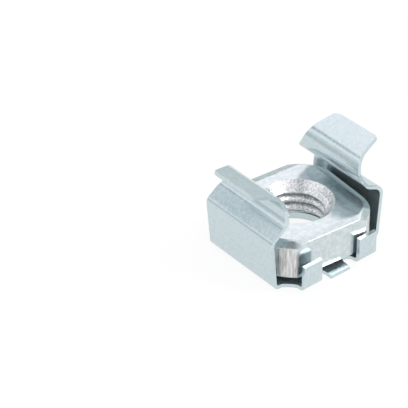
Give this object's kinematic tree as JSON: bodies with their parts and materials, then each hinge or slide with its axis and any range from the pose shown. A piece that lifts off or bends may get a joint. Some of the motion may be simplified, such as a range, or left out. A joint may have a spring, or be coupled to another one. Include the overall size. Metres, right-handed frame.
{
  "type": "rack cage nut",
  "caption": "Square nut held loosely in a folded spring-steel cage whose flared lips snap into a square hole of a rack rail.",
  "frame": {"origin": "on the thread axis, in the plane the cage base rests on", "axes": "+Z out through the nut towards the lips, X between the spring walls, Y between the tabs"},
  "size_m": [0.0198, 0.0174, 0.0132],
  "materials": {
    "cage_steel": "bright blue-white zinc plate on spring-steel sheet",
    "nut_steel": "bright blue-white zinc plate, rougher on the sheared corners"
  },
  "bodies": {
    "root": {"cage": "cage_steel", "nut": "nut_steel"}
  },
  "joints": []
}
